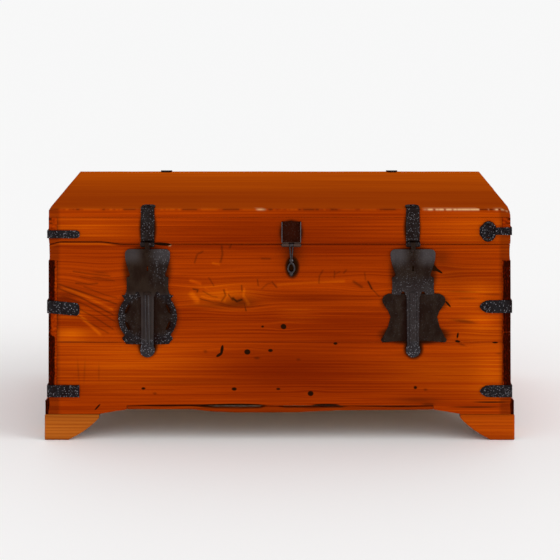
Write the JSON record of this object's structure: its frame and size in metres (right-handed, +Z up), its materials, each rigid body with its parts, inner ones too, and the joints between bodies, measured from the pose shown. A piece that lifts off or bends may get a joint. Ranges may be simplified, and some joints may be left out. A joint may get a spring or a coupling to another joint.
{
  "type": "blanket chest",
  "caption": "Low rectangular pine chest on bracket feet, with a hinged lid, wrought iron corner straps, swinging hasps over lock plates and a small iron drop.",
  "frame": {"origin": "on the floor under the middle of the chest's bounding box", "axes": "+Z up; -Y is the front with the hasps; +X runs along the chest to the viewer's right"},
  "size_m": [1.0914, 0.5729, 0.5496],
  "materials": {
    "pine_front": "orange shellac over knotty pine, glossy",
    "pine_top": "orange shellac, worn to a soft gloss",
    "pine_foot": "thinner shellac, satin",
    "pine_inside": "bare aged pine, matt",
    "black_iron": "hammered black wrought iron, waxed",
    "rusty_iron": "dark red-brown rusted iron",
    "pin_steel": "dark oiled steel"
  },
  "bodies": {
    "carcass": {"back_board_lower": "pine_front", "back_board_upper": "pine_front", "base_board_left": "pine_front", "base_board_right": "pine_front", "corner_strap_base_back_left": "black_iron", "corner_strap_base_back_right": "black_iron", "corner_strap_base_front_left": "black_iron", "corner_strap_base_front_right": "black_iron", "corner_strap_middle_back_left": "black_iron", "corner_strap_middle_back_right": "black_iron", "corner_strap_middle_front_left": "black_iron", "corner_strap_middle_front_right": "black_iron", "floor_board_back": "pine_inside", "floor_board_front": "pine_inside", "foot_back_left": "pine_foot", "foot_back_left_side": "pine_foot", "foot_back_right": "pine_foot", "foot_back_right_side": "pine_foot", "foot_front_left": "pine_foot", "foot_front_left_side": "pine_foot", "foot_front_right": "pine_foot", "foot_front_right_side": "pine_foot", "front_board_lower": "pine_front", "front_board_upper": "pine_front", "front_edge_strip": "pine_front", "hinge_left_body_leaf": "black_iron", "hinge_left_pin": "pin_steel", "hinge_right_body_leaf": "black_iron", "hinge_right_pin": "pin_steel", "lock_plate_left": "black_iron", "lock_plate_right": "black_iron", "side_board_left_lower": "pine_front", "side_board_left_upper": "pine_front", "side_board_right_lower": "pine_front", "side_board_right_upper": "pine_front"},
    "lid": {"corner_strap_lid_back_left": "black_iron", "corner_strap_lid_back_right": "black_iron", "corner_strap_lid_front_left": "black_iron", "corner_strap_lid_front_right": "black_iron", "drop_pin": "pin_steel", "drop_plate": "rusty_iron", "hasp_left_pin": "pin_steel", "hasp_left_strap": "black_iron", "hasp_right_pin": "pin_steel", "hasp_right_strap": "black_iron", "hinge_left_lid_leaf": "black_iron", "hinge_right_lid_leaf": "black_iron", "lid_batten_left": "pine_inside", "lid_batten_right": "pine_inside", "lid_board_back": "pine_top", "lid_board_front": "pine_top", "lid_rail_back": "pine_front", "lid_rail_front": "pine_front", "lid_rail_left": "pine_front", "lid_rail_right": "pine_front"},
    "hasp_left": {"hasp_left": "black_iron"},
    "hasp_right": {"hasp_right": "black_iron"},
    "drop": {"drop": "black_iron"}
  },
  "joints": [
    {"name": "lid_hinge", "type": "hinge", "parent": "carcass", "child": "lid", "pos_m": [0, 0.2798, 0.4636], "axis": [-1, 0, 0], "range_deg": [0, 100]},
    {"name": "hasp_left_hinge", "type": "hinge", "parent": "lid", "child": "hasp_left", "pos_m": [-0.2972, -0.2824, 0.4648], "axis": [-1, 0, 0], "range_deg": [0, 165]},
    {"name": "hasp_right_hinge", "type": "hinge", "parent": "lid", "child": "hasp_right", "pos_m": [0.3002, -0.2824, 0.4648], "axis": [-1, 0, 0], "range_deg": [0, 165]},
    {"name": "drop_hinge", "type": "hinge", "parent": "lid", "child": "drop", "pos_m": [0.0263, -0.2804, 0.4625], "axis": [-1, 0, 0], "range_deg": [0, 165]}
  ]
}
